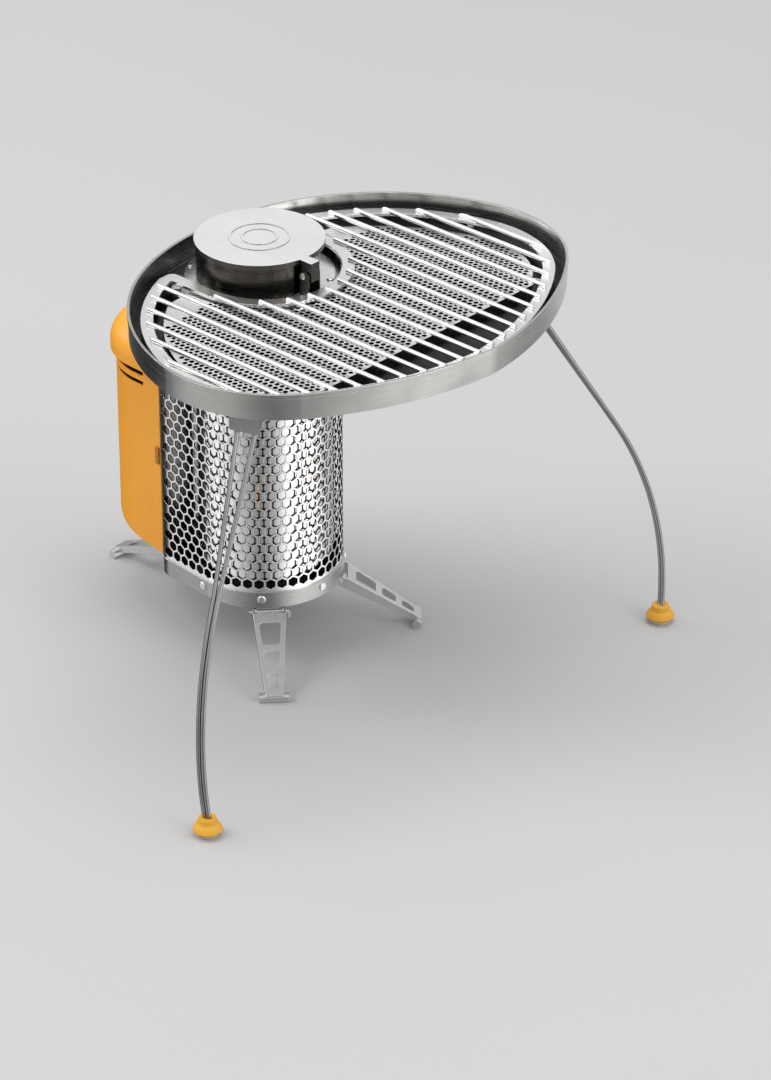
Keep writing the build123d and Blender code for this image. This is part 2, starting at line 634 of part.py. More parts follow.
def wire_leg(side, splay, lean):
    """One bent wire: a bar through the barrel and two strands that close up and run to the foot."""
    a, tip = radians(splay), radians(lean)
    drop = (HINGE_H - WIRE_END_H) / cos(tip)
    arc_out, arc_drop = STRAIGHT * sin(a) - BEND_R * cos(a), STRAIGHT * cos(a) + BEND_R * sin(a)
    last = asin((arc_drop - drop) / BEND_R)
    apex = STRAIGHT + BEND_R * tan((a - last) / 2)
    end_out = arc_out + BEND_R * cos(last)
    hinge = wire_plane(side).from_local_coords((0, HINGE_H, 0))
    outward = wire_plane(side).x_dir
    forward = Vector(sin(radians(HINGE_ANGLE)), -side * cos(radians(HINGE_ANGLE)), 0)
    down = Vector(0, 0, -cos(tip)) + forward * sin(tip)
    foot_end = hinge + outward * end_out + down * drop
    with BuildPart() as leg:
        for way in (1, -1):
            wide, narrow = forward * way * STRAND_GAP / 2, forward * way * (WIRE_R + 0.05)
            closed = hinge + (outward * sin(a) + down * cos(a)) * CLOSED_AT * STRAIGHT + narrow
            elbow = hinge + (outward * sin(a) + down * cos(a)) * apex + narrow
            end = foot_end + narrow
            end += (end - elbow).normalized() * WIRE_TAIL
            with BuildLine() as path:
                FilletPolyline(hinge, hinge + wide, closed, elbow, end, radius=(WIRE_BEND, CLOSING_R, BEND_R))
            with BuildSketch(Plane(hinge, z_dir=forward * way)):
                Circle(WIRE_R)
            sweep(path=path.wires()[0])
    return leg.part, foot_end


FOOT_PROFILE = ((0, 0), (6.0, 0), (6.6, 1.4), (9.7, 4.2), (8.4, 6.8), (6.4, 9.2), (5.7, 12.4), (0, 12.4))


def rubber_foot(centre):
    """Bell-shaped foot on the end of a wire leg."""
    with BuildPart() as foot:
        with BuildSketch(Plane((centre.X, centre.Y, 0), x_dir=(1, 0, 0), z_dir=(0, -1, 0))) as profile:
            with BuildLine():
                Polyline(*FOOT_PROFILE, close=True)
            make_face()
            fillet(profile.vertices().group_by(Axis.X)[-1], 1.0)
        revolve(axis=Axis((centre.X, centre.Y, 0), (0, 0, 1)))
    return foot.part


bracket_rivets = Compound(
    label="bracket_rivets", children=[*bracket_rivets_under(-1), *bracket_rivets_under(1)]
)
export_step(bracket_rivets, "parts/bracket_rivets.step")

for name, (side, splay, lean) in WIRE_LEGS.items():
    box = leg_bracket_box(side)
    box.label = f"wire_leg_bracket_{name}"
    export_step(box, f"parts/wire_leg_bracket_{name}.step")
    wire, wire_end = wire_leg(side, splay, lean)
    wire.label = f"wire_leg_{name}"
    export_step(wire, f"parts/wire_leg_{name}.step")
    foot = rubber_foot(wire_end)
    foot.label = f"wire_leg_foot_{name}"
    export_step(foot, f"parts/wire_leg_foot_{name}.step")


# Power unit ----------------------------------------------------------------------------------

UNDERSIDE = ((MOD_FRONT_X, 51.5), (-88.0, 57.5), (MOD_ARC_X - MOD_R, 72.0))


def module_block(inset):
    """The power unit's outer form, or its hollow when inset: a plan outline over a curved underside."""
    with BuildPart() as block:
        with BuildSketch(level(0)):
            offset(module_outline.sketch, amount=-inset)
        extrude(amount=MOD_TOP)
        with BuildSketch(upright(0)):
            with BuildLine():
                underside = ThreePointArc(*[(x, h + inset) for x, h in UNDERSIDE])
                Polyline(underside @ 1, (underside @ 1) + (-20, 0), (-140, 300), (0, 300),
                         (0, UNDERSIDE[0][1] + inset), underside @ 0)
            make_face()
        extrude(amount=2 * MOD_R, both=True, mode=Mode.INTERSECT)
    return block.part


module_solid = module_block(0)
module_space = module_block(MOD_WALL)
PLATE_BACK = MOD_FRONT_X - MOD_WALL
BUTTON_H, SOCKET_H, CATCH_H = 125.0, 98.0, 125.0
PLATE_H, SCREW_PITCH = 119.5, (72.0, 117.4)

with BuildPart() as module_catches:
    with BuildSketch(level(CATCH_H - 6)):
        for way in (1, -1):
            with Locations((MOD_FRONT_X - 0.2, way * (MOD_FRONT_Y - 0.6))):
                Rectangle(3, 2.2, align=(Align.MAX, Align.MIN if way > 0 else Align.MAX))
    extrude(amount=12)
module_catches.part.label = "module_catches"
export_step(module_catches.part, "parts/module_catches.step")

with BuildPart() as module_frame:
    add(module_solid)
    add(module_space, mode=Mode.SUBTRACT)
    split(bisect_by=facing(MOD_SEAM_X), keep=Keep.TOP)
    with BuildSketch(facing(MOD_FRONT_X - 5, PLATE_H)):
        RectangleRounded(76, 112, 6)
        with GridLocations(*SCREW_PITCH, 2, 2):
            Circle(1.2)
    extrude(amount=10, mode=Mode.SUBTRACT)
    add(module_catches.part, mode=Mode.SUBTRACT)
module_frame.part.label = "module_frame"
export_step(module_frame.part, "parts/module_frame.step")

with BuildPart() as module_shell:
    add(module_solid)
    add(module_space, mode=Mode.SUBTRACT)
    split(bisect_by=facing(MOD_SEAM_X), keep=Keep.BOTTOM)
    for height in VENT_HEIGHTS:
        for way in (1, -1):
            with BuildSketch(level(height - VENT_GAP / 2)):
                with Locations((MOD_SEAM_X - 5, way * 5)):
                    Rectangle(60, 60, align=(Align.MAX, Align.MIN if way > 0 else Align.MAX))
            extrude(amount=VENT_GAP, mode=Mode.SUBTRACT)
    with BuildSketch(facing(MOD_ARC_X - MOD_R - 5, BUTTON_H)):
        Circle(4.8)
        with Locations((0, SOCKET_H - BUTTON_H)):
            Rectangle(9, 4)
    extrude(amount=10, mode=Mode.SUBTRACT)
module_shell.part.label = "module_shell"
export_step(module_shell.part, "parts/module_shell.step")

with BuildPart() as module_cap:
    with BuildSketch(level(MOD_TOP)):
        with BuildLine():
            ThreePointArc((MOD_ARC_X, -CAP_R), (MOD_ARC_X - CAP_R, 0), (MOD_ARC_X, CAP_R))
            Polyline((MOD_ARC_X, CAP_R), (MOD_FRONT_X, CAP_R), (MOD_FRONT_X, -CAP_R), (MOD_ARC_X, -CAP_R))
        make_face()
    extrude(amount=CAP_TOP - MOD_TOP)
    fillet(module_cap.faces().sort_by(Axis.Z)[-1].edges().sort_by(Axis.X)[:-1], CAP_ROUND)
    with BuildSketch(level(MOD_TOP)):
        offset(module_outline.sketch, amount=-MOD_WALL)
    extrude(amount=CAP_HOLLOW, mode=Mode.SUBTRACT, taper=20)
module_cap.part.label = "module_cap"
export_step(module_cap.part, "parts/module_cap.step")

with BuildPart() as module_plate:
    with BuildSketch(facing(PLATE_BACK, PLATE_H)):
        RectangleRounded(81, 123, 4)
        with Locations((0, FAN_H - PLATE_H)):
            Circle(9, mode=Mode.SUBTRACT)
        with GridLocations(*SCREW_PITCH, 2, 2):
            Circle(1.2, mode=Mode.SUBTRACT)
    extrude(amount=-1.5)
module_plate.part.label = "module_plate"
export_step(module_plate.part, "parts/module_plate.step")

with BuildPart() as module_screws:
    with BuildSketch(facing(MOD_FRONT_X, PLATE_H)):
        with GridLocations(*SCREW_PITCH, 2, 2):
            Circle(2)
    extrude(amount=0.9)
    with BuildSketch(facing(MOD_FRONT_X, PLATE_H)):
        with GridLocations(*SCREW_PITCH, 2, 2):
            Circle(1.2)
    extrude(amount=-5)
module_screws.part.label = "module_screws"
export_step(module_screws.part, "parts/module_screws.step")

PLATE_REAR = PLATE_BACK - 1.5
with BuildPart() as heat_probe:
    with BuildSketch(facing(PLATE_BACK, PROBE_H)):
        Circle(7)
    extrude(amount=1.5)
    with BuildSketch(facing(PLATE_BACK, PROBE_H)):
        Circle(4)
    extrude(amount=25)
    fillet(heat_probe.edges().sort_by(Axis.X)[-1], 2)
heat_probe.part.label = "heat_probe"
export_step(heat_probe.part, "parts/heat_probe.step")

with BuildPart() as thermo_plate:
    with BuildSketch(facing(PLATE_REAR, PROBE_H - 1)):
        Rectangle(34, 34)
    extrude(amount=-2.2)
thermo_plate.part.label = "thermo_plate"
export_step(thermo_plate.part, "parts/thermo_plate.step")

with BuildPart() as heat_sink:
    with BuildSketch(facing(PLATE_REAR - 2.2, PROBE_H - 1)):
        Rectangle(40, 34)
    extrude(amount=-2)
    with BuildSketch(facing(PLATE_REAR - 4.2, PROBE_H - 1)):
        with GridLocations(4.4, 0, 9, 1):
            Rectangle(1.2, 34)
    extrude(amount=-15)
heat_sink.part.label = "heat_sink"
export_step(heat_sink.part, "parts/heat_sink.step")

DUCT_FRONT, DUCT_R, FAN_R, MOTOR_R = PLATE_REAR - 1.5, 23.0, 20.5, 7.0
DUCT_BACK = DUCT_FRONT - 29
with BuildPart() as air_nozzle:
    with BuildSketch(facing(DUCT_FRONT, FAN_H)):
        Circle(9)
        Circle(7.4, mode=Mode.SUBTRACT)
    extrude(amount=-47.2 - DUCT_FRONT)
    with BuildSketch(facing(DUCT_FRONT, FAN_H)):
        Circle(13)
        Circle(7.4, mode=Mode.SUBTRACT)
    extrude(amount=1.5)
air_nozzle.part.label = "air_nozzle"
export_step(air_nozzle.part, "parts/air_nozzle.step")

with BuildPart() as fan_duct:
    with BuildSketch(facing(DUCT_FRONT, FAN_H)):
        Circle(DUCT_R)
        Circle(DUCT_R - 1.5, mode=Mode.SUBTRACT)
    extrude(amount=DUCT_BACK - DUCT_FRONT)
    with BuildSketch(facing(DUCT_FRONT, FAN_H)):
        Circle(DUCT_R)
        Circle(9, mode=Mode.SUBTRACT)
    extrude(amount=-1.5)
    with BuildSketch(facing(DUCT_BACK, FAN_H)):
        Circle(MOTOR_R + 2)
        with PolarLocations(0, 3):
            Rectangle(DUCT_R - 1, 3, align=(Align.MIN, Align.CENTER))
        Circle(MOTOR_R, mode=Mode.SUBTRACT)
    extrude(amount=4)
fan_duct.part.label = "fan_duct"
export_step(fan_duct.part, "parts/fan_duct.step")

SHAFT_R = 1.0
with BuildPart() as fan_motor:
    with BuildSketch(facing(DUCT_BACK - 2, FAN_H)):
        Circle(MOTOR_R)
        Circle(SHAFT_R + 0.05, mode=Mode.SUBTRACT)
    extrude(amount=16)
fan_motor.part.label = "fan_motor"
export_step(fan_motor.part, "parts/fan_motor.step")

with BuildPart() as fan_shaft:
    with BuildSketch(facing(DUCT_BACK - 2, FAN_H)):
        Circle(SHAFT_R)
    extrude(amount=26)
fan_shaft.part.label = "fan_shaft"
export_step(fan_shaft.part, "parts/fan_shaft.step")

FAN_BACK = DUCT_BACK + 16
with BuildPart() as fan:
    with BuildSketch(facing(FAN_BACK, FAN_H)):
        Circle(6)
        with PolarLocations(5, 9):
            Rectangle(FAN_R - 5.5, 1.2, align=(Align.MIN, Align.CENTER))
        Circle(SHAFT_R, mode=Mode.SUBTRACT)
    extrude(amount=8)
fan.part.label = "fan"
export_step(fan.part, "parts/fan.step")

with BuildPart() as battery:
    with BuildSketch(upright(0)):
        with Locations((-68, 70)):
            Circle(9)
    extrude(amount=32, both=True)
    fillet(battery.edges(), 0.8)
battery.part.label = "battery"
export_step(battery.part, "parts/battery.step")

BOARD_X, BOARD_T = DUCT_BACK - 8, 1.6
with BuildPart() as circuit_board:
    with BuildSketch(facing(BOARD_X, 112)):
        Rectangle(50, 64)
    extrude(amount=-BOARD_T)
circuit_board.part.label = "circuit_board"
export_step(circuit_board.part, "parts/circuit_board.step")

BUTTON_X, BUTTON_R, BUTTON_TRAVEL = MOD_ARC_X - MOD_R - 1.3, 4.4, 1.2
with BuildPart() as power_button:
    with BuildSketch(facing(BUTTON_X, BUTTON_H)):
        Circle(BUTTON_R)
    extrude(amount=5.2)
    fillet(power_button.edges().sort_by(Axis.X)[0], 0.6)
    with BuildSketch(facing(BUTTON_X + 4.2, BUTTON_H)):
        Circle(BUTTON_R + 1.4)
    extrude(amount=1)
    with BuildSketch(facing(BUTTON_X + 5.2, BUTTON_H)):
        Circle(1.5)
    extrude(amount=2.4)
power_button.part.label = "power_button"
export_step(power_button.part, "parts/power_button.step")

BOARD_REAR = BOARD_X - BOARD_T
with BuildPart() as button_switch:
    with BuildSketch(facing(BUTTON_X + 7.6 + BUTTON_TRAVEL + GAP, BUTTON_H)):
        Rectangle(6, 6)
    extrude(amount=BOARD_REAR - BUTTON_X - 7.6 - BUTTON_TRAVEL - GAP)
button_switch.part.label = "button_switch"
export_step(button_switch.part, "parts/button_switch.step")

with BuildPart() as charging_socket:
    with BuildSketch(facing(MOD_ARC_X - MOD_R + 0.6, SOCKET_H)):
        Rectangle(8.6, 3.6)
    extrude(amount=BOARD_REAR - MOD_ARC_X + MOD_R - 0.6)
    with BuildSketch(facing(MOD_ARC_X - MOD_R + 0.6, SOCKET_H)):
        Rectangle(7.4, 2.4)
    extrude(amount=6, mode=Mode.SUBTRACT)
charging_socket.part.label = "charging_socket"
export_step(charging_socket.part, "parts/charging_socket.step")
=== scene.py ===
"""Looks for the wood-burning camp stove with its clip-on grill. Metres, in the frame of the CAD part."""

from math import atan2, cos, hypot, pi, radians, sin, sqrt, tan

import bmesh
import bpy
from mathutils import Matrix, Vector
from mathutils.bvhtree import BVHTree
from mathutils.geometry import delaunay_2d_cdt


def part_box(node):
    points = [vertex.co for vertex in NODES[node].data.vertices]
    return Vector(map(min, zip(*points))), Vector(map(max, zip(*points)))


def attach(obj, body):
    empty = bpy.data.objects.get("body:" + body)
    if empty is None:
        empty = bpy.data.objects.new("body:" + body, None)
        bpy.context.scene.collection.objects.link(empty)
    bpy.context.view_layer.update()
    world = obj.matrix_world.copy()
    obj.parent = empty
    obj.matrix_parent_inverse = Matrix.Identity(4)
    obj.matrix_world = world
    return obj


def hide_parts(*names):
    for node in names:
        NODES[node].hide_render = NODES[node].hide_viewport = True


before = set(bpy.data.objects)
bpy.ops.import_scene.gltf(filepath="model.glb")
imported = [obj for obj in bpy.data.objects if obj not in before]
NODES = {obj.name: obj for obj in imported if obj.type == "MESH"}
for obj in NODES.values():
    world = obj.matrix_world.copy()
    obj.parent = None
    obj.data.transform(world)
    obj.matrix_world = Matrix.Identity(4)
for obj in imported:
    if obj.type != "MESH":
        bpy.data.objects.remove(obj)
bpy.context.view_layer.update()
MM = 0.001


def centre(node):
    """Middle of a node's box."""
    low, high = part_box(node)
    return (low + high) / 2


# The stove's upright axis, from the burn chamber that is round about it.
AXIS = centre("burn_chamber")


# ------------------------------------------------------------------------------- materials

def new_material(name):
    """Empty node material: returns it, its node tree and its Principled shader."""
    material = bpy.data.materials.new(name)
    material.use_nodes = True
    tree = material.node_tree
    tree.nodes.clear()
    out = tree.nodes.new("ShaderNodeOutputMaterial")
    shader = tree.nodes.new("ShaderNodeBsdfPrincipled")
    tree.links.new(shader.outputs["BSDF"], out.inputs["Surface"])
    return material, tree, shader


def noise(tree, scale, stretch=(1, 1, 1), detail=3.0, roughness=0.5):
    """Noise in object space, stretched by scaling its coordinates."""
    where = tree.nodes.new("ShaderNodeTexCoord")
    mapping = tree.nodes.new("ShaderNodeMapping")
    mapping.inputs["Scale"].default_value = stretch
    texture = tree.nodes.new("ShaderNodeTexNoise")
    texture.inputs["Scale"].default_value = scale
    texture.inputs["Detail"].default_value = detail
    texture.inputs["Roughness"].default_value = roughness
    tree.links.new(where.outputs["Object"], mapping.inputs["Vector"])
    tree.links.new(mapping.outputs["Vector"], texture.inputs["Vector"])
    return texture.outputs["Fac"]


def spread(tree, value, low, high, start=0.3, end=0.7):
    """Map a noise value to a range of numbers."""
    node = tree.nodes.new("ShaderNodeMapRange")
    node.inputs["From Min"].default_value = start
    node.inputs["From Max"].default_value = end
    node.inputs["To Min"].default_value = low
    node.inputs["To Max"].default_value = high
    tree.links.new(value, node.inputs["Value"])
    return node.outputs["Result"]


def blend(tree, factor, first, second):
    """Mix two colours, each a tuple or a socket, by a factor socket."""
    node = tree.nodes.new("ShaderNodeMix")
    node.data_type = "RGBA"
    tree.links.new(factor, node.inputs["Factor"])
    for socket, colour in ((node.inputs[6], first), (node.inputs[7], second)):
        if isinstance(colour, tuple):
            socket.default_value = (*colour, 1)
        else:
            tree.links.new(colour, socket)
    return node.outputs[2]


def rounded(tree, radius):
    """Normals as if every edge had a small radius."""
    node = tree.nodes.new("ShaderNodeBevel")
    node.samples = 4
    node.inputs["Radius"].default_value = radius
    return node


def bump(tree, shader, height, strength, distance, edge=0.35 * MM):
    """Bump from a height socket, over edges rounded by a small radius."""
    node = tree.nodes.new("ShaderNodeBump")
    tree.links.new(rounded(tree, edge).outputs["Normal"], node.inputs["Normal"])
    node.inputs["Strength"].default_value = strength
    node.inputs["Distance"].default_value = distance
    tree.links.new(height, node.inputs["Height"])
    tree.links.new(node.outputs["Normal"], shader.inputs["Normal"])


def edge_wear(tree, radius=0.6 * MM):
    """How near a point lies to an edge, from 0 to 1."""
    geometry = tree.nodes.new("ShaderNodeNewGeometry")
    turn = tree.nodes.new("ShaderNodeVectorMath")
    turn.operation = "DOT_PRODUCT"
    tree.links.new(rounded(tree, radius).outputs["Normal"], turn.inputs[0])
    tree.links.new(geometry.outputs["Normal"], turn.inputs[1])
    return spread(tree, turn.outputs["Value"], 1, 0, 0.8, 0.97)


def steel(name, light, dark, rough=(0.2, 0.34), grain=(60, 60, 900), grain_bump=0.12, wear=True):
    """Brushed or drawn steel: fine grain across the stretch's long axis, broad smudges, brighter edges."""
    material, tree, shader = new_material(name)
    shader.inputs["Metallic"].default_value = 1.0
    smudge = noise(tree, 18, detail=5)
    lines = noise(tree, 1, grain, detail=4, roughness=0.6)
    colour = blend(tree, spread(tree, smudge, 0, 1), dark, light)
    colour = blend(tree, spread(tree, lines, 0, 0.35), colour, dark)
    if wear:
        colour = blend(tree, edge_wear(tree), colour, tuple(min(1, c * 1.25) for c in light))
    tree.links.new(colour, shader.inputs["Base Color"])
    tree.links.new(spread(tree, lines, *rough), shader.inputs["Roughness"])
    bump(tree, shader, lines, grain_bump, 0.0002)
    return material


def plastic(name, colour, shade, rough=0.45, texture_scale=1800, texture=0.1):
    """Moulded plastic with a fine spark-eroded texture and slight tone changes."""
    material, tree, shader = new_material(name)
    shader.inputs["Specular IOR Level"].default_value = 0.45
    tone = noise(tree, 12, detail=2)
    grain = noise(tree, texture_scale, detail=2)
    base = blend(tree, spread(tree, tone, 0, 1), shade, colour)
    base = blend(tree, edge_wear(tree), base, tuple(min(1, c * 1.15 + 0.02) for c in colour))
    tree.links.new(base, shader.inputs["Base Color"])
    tree.links.new(spread(tree, grain, rough - 0.06, rough + 0.06), shader.inputs["Roughness"])
    bump(tree, shader, grain, texture, 0.0001)
    return material


def zoned(material, zone, colour):
    """Blend a material's colour to another one over a zone, a factor made by a function of its tree."""
    tree = material.node_tree
    shader = next(n for n in tree.nodes if n.type == "BSDF_PRINCIPLED")
    old = shader.inputs["Base Color"].links[0].from_socket
    tree.links.new(blend(tree, zone(tree), old, colour), shader.inputs["Base Color"])
    return material


def coordinate(tree, kind, axis):
    """One component of a texture coordinate."""
    where = tree.nodes.new("ShaderNodeTexCoord")
    split = tree.nodes.new("ShaderNodeSeparateXYZ")
    tree.links.new(where.outputs[kind], split.inputs["Vector"])
    return split.outputs[axis]


def calculate(tree, operation, first, second):
    """Result of a maths operation on two values, each a number or a socket."""
    node = tree.nodes.new("ShaderNodeMath")
    node.operation = operation
    for socket, value in zip(node.inputs, (first, second)):
        if isinstance(value, (int, float)):
            socket.default_value = value
        else:
            tree.links.new(value, socket)
    return node.outputs["Value"]


def pan_steel():
    """Rim steel brushed round the wall, with painted shade darkening the floor inside."""
    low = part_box("pan")[0]
    patch_edge = (54 * MM, 60 * MM)
    # Heights over the pan's bottom between which the painted shade on its floor fades out.
    painted_shade_top = (low.z + 3 * MM, low.z + 6 * MM)
    steel_rim = steel("pan_steel", (0.60, 0.59, 0.57), (0.36, 0.36, 0.35), (0.22, 0.34), (22, 22, 900), 0.16)

    def floor(tree):
        """1 where painted shade darkens the floor inside, outside a patch round the hub that is left bright.
        """
        apart = tree.nodes.new("ShaderNodeVectorMath")
        apart.operation = "DISTANCE"
        where = tree.nodes.new("ShaderNodeTexCoord")
        tree.links.new(where.outputs["Object"], apart.inputs[0])
        apart.inputs[1].default_value = (AXIS.x, AXIS.y, low.z)
        up = spread(tree, coordinate(tree, "Normal", "Z"), 0, 1, 0.6, 0.9)
        deep = spread(tree, coordinate(tree, "Object", "Z"), 1, 0, *painted_shade_top)
        away = spread(tree, apart.outputs["Value"], 0, 1, *patch_edge)
        return calculate(tree, "MULTIPLY", calculate(tree, "MULTIPLY", up, deep), away)

    # Near-black painted shade on the pan's floor, away from the hub.
    return zoned(steel_rim, floor, (0.014, 0.013, 0.012))


def lid_steel():
    """Fine-brushed top, with painted shade on the sides."""
    top = steel("lid_steel", (0.93, 0.92, 0.91), (0.84, 0.83, 0.82), (0.28, 0.42), (30, 900, 30), 0.06)
    # Painted shade: near-black on faces that turn away from up.
    return zoned(top, lambda tree: spread(tree, coordinate(tree, "Normal", "Z"), 1, 0, 0.1, 0.5),
                 (0.10, 0.095, 0.09))


def foot_rubber():
    """Amber rubber on a pale sole."""
    rubber = plastic("foot_rubber", (0.66, 0.34, 0.028), (0.58, 0.28, 0.02), 0.6, 700, 0.2)
    sole_top = (1.2 * MM, 1.8 * MM)
    return zoned(rubber, lambda tree: spread(tree, coordinate(tree, "Object", "Z"), 1, 0, *sole_top),
                 (0.55, 0.54, 0.48))


ORANGE_TONES = (0.80, 0.35, 0.025), (0.74, 0.30, 0.018)


def shell_plastic():
    """Orange outside, with painted shade inside the wall, so that the vents read as openings."""
    orange = plastic("shell_plastic", *ORANGE_TONES, 0.40)
    low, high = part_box("module_shell")
    radius = (high.y - low.y) / 2
    wall, fade = radius - 1.2 * MM, 0.8 * MM

    def inside(tree):
        """1 behind the wall, where the painted shade goes, by distance from the straight part's middle line
        or the round back's axis.
        """
        along = calculate(tree, "SUBTRACT", coordinate(tree, "Object", "X"), low.x + radius)
        across = calculate(tree, "SUBTRACT", coordinate(tree, "Object", "Y"), AXIS.y)
        behind = calculate(tree, "MINIMUM", along, 0)
        squares = [calculate(tree, "MULTIPLY", reach, reach) for reach in (behind, across)]
        return spread(tree, calculate(tree, "ADD", *squares), 1, 0, (wall - fade) ** 2, wall ** 2)

    # Near-black painted shade behind the orange wall.
    return zoned(orange, inside, (0.02, 0.008, 0.003))


BRIGHT = steel("bright_steel", (0.86, 0.85, 0.84), (0.72, 0.71, 0.70), (0.22, 0.36), (30, 900, 30))
ROD = steel("rod_steel", (0.92, 0.91, 0.90), (0.80, 0.79, 0.78), (0.25, 0.38), (20, 700, 700))
LID_TOP = lid_steel()
SATIN = steel("satin_steel", (0.50, 0.49, 0.48), (0.36, 0.36, 0.35), (0.24, 0.38), (70, 70, 700))
LEG = steel("leg_steel", (0.62, 0.62, 0.61), (0.50, 0.50, 0.49), (0.36, 0.50), (420, 420, 420), 0.1)
MESH = steel("mesh_steel", (0.92, 0.91, 0.90), (0.84, 0.83, 0.82), (0.12, 0.22), (60, 60, 300), 0.05)
JACKET = steel("jacket_steel", (0.95, 0.94, 0.93), (0.88, 0.87, 0.86), (0.07, 0.14), (60, 60, 200), 0.03,
               wear=False)
WIRE = steel("wire_steel", (0.36, 0.36, 0.36), (0.24, 0.24, 0.24), (0.14, 0.24), (500, 500, 60), 0.06)
BRACKET = steel("bracket_steel", (0.30, 0.30, 0.29), (0.20, 0.20, 0.20), (0.26, 0.40), (60, 60, 600))
# Near-black steel as painted shade on the hub shroud and the lid ears, which sit in shadow under the lid.
SHROUD_PAINTED_SHADE = steel("shroud_painted_shade_steel", (0.085, 0.08, 0.07), (0.05, 0.046, 0.042), (0.2, 0.32), (30, 30, 600), 0.1)
# Near-black steel as painted shade: the dark inside the stove on the burn chamber, its plate and stand and
# the base floor, and on the inner faces and hole walls of the pierced sheets.
PAINTED_SHADE = steel("painted_shade_steel", (0.05, 0.046, 0.042), (0.02, 0.019, 0.018), (0.5, 0.75), (80, 80, 80), 0.3,
             wear=False)
PAN = pan_steel()
COPPER = steel("probe_copper", (0.52, 0.33, 0.18), (0.34, 0.20, 0.11), (0.3, 0.5), (90, 90, 90))
ALUMINIUM = steel("aluminium", (0.80, 0.80, 0.81), (0.68, 0.68, 0.69), (0.3, 0.45), (60, 900, 60))
ORANGE = plastic("orange_plastic", *ORANGE_TONES, 0.40)
SHELL = shell_plastic()
AMBER = plastic("catch_plastic", (0.42, 0.15, 0.01), (0.34, 0.12, 0.008), 0.5)
BLACK = plastic("dark_plastic", (0.03, 0.03, 0.03), (0.018, 0.018, 0.018), 0.5)
RUBBER = foot_rubber()
BLUE = plastic("battery_wrap", (0.04, 0.12, 0.30), (0.03, 0.09, 0.24), 0.25, 400, 0.02)
GREEN = plastic("circuit_board", (0.02, 0.13, 0.05), (0.012, 0.09, 0.035), 0.35, 250, 0.15)
TILE = plastic("ceramic", (0.8, 0.8, 0.77), (0.72, 0.72, 0.69), 0.6, 900, 0.05)

FINISHES = {
    "mesh_shell": MESH, "jacket": JACKET, "burn_chamber": PAINTED_SHADE, "chamber_plate": PAINTED_SHADE, "chamber_stand": PAINTED_SHADE,
    "base_ring": SATIN, "base_floor": PAINTED_SHADE, "base_rivets": BRIGHT, "top_ring": SATIN,
    "leg_brackets": LEG, "leg_pins": BRIGHT,
    "stove_leg_right": LEG, "stove_leg_left": LEG, "stove_leg_rear": LEG,
    "pan": PAN, "pan_collar": SATIN, "hub_plate": BRIGHT, "hub_rivets": BRIGHT, "hub_shroud": SHROUD_PAINTED_SHADE,
    "lid_ears": SHROUD_PAINTED_SHADE, "lid_pin": BRIGHT, "fuel_lid": LID_TOP,
    "grate_frame": BRIGHT, "grate_rods": ROD, "grate_rests": SATIN,
    "diffuser": BRIGHT, "diffuser_posts": SATIN,
    "wire_leg_bracket_left": BRACKET, "wire_leg_bracket_right": BRACKET, "bracket_rivets": BRIGHT,
    "wire_leg_right": WIRE, "wire_leg_left": WIRE,
    "wire_leg_foot_right": RUBBER, "wire_leg_foot_left": RUBBER,
    "module_frame": ORANGE, "module_shell": SHELL, "module_cap": ORANGE, "module_catches": AMBER,
    "module_plate": SATIN, "module_screws": BRIGHT, "heat_probe": COPPER, "thermo_plate": TILE,
    "heat_sink": ALUMINIUM, "air_nozzle": ALUMINIUM, "fan_duct": BLACK, "fan_motor": SATIN, "battery": BLUE,
    "circuit_board": GREEN, "button_switch": BLACK, "charging_socket": SATIN,
    "fan": BLACK, "fan_shaft": BRIGHT, "power_button": BLACK,
}


def finish_nodes():
    """Give every CAD node its material and smooth its round faces."""
    for name, node in NODES.items():
        node.data.materials.clear()
        node.data.materials.append(FINISHES[name])
        node.data.shade_smooth()
        node.data.set_sharp_from_angle(angle=radians(30))


# ------------------------------------------------------------------- perforated sheet metal

def hexagon(x, y, across, turn=0.0):
    """Corners of a hexagonal hole, pointed at top and bottom when turn is 0."""
    r = across / sqrt(3)
    return [Vector((x - r * sin(k * pi / 3 + turn), y + r * cos(k * pi / 3 + turn))) for k in range(6)]


def staggered(low, high, pitch):
    """Centres of a staggered grid of holes over a rectangle."""
    row_pitch = pitch * sqrt(3) / 2
    rows = int((high[1] - low[1]) / row_pitch) + 1
    for row in range(rows):
        x = low[0] + (pitch / 2 if row % 2 else 0)
        while x <= high[0]:
            yield x, low[1] + row * row_pitch
            x += pitch


# delaunay_2d_cdt: keep only triangles inside some face, and weld points closer than this.
INSIDE_ONLY, WELD = 1, 1e-7


def cut_sheet(verts, faces, holes):
    """Triangles of a flat sheet, given as polygons, with polygonal holes left out."""
    verts = list(verts)
    faces = [list(f) for f in faces]
    solid = len(faces)
    for hole in holes:
        faces.append(list(range(len(verts), len(verts) + len(hole))))
        verts += hole
    points, _, triangles, _, _, sources = delaunay_2d_cdt(verts, [], faces, INSIDE_ONLY, WELD)
    kept = [t for t, source in zip(triangles, sources) if source and max(source) < solid]
    return points, kept


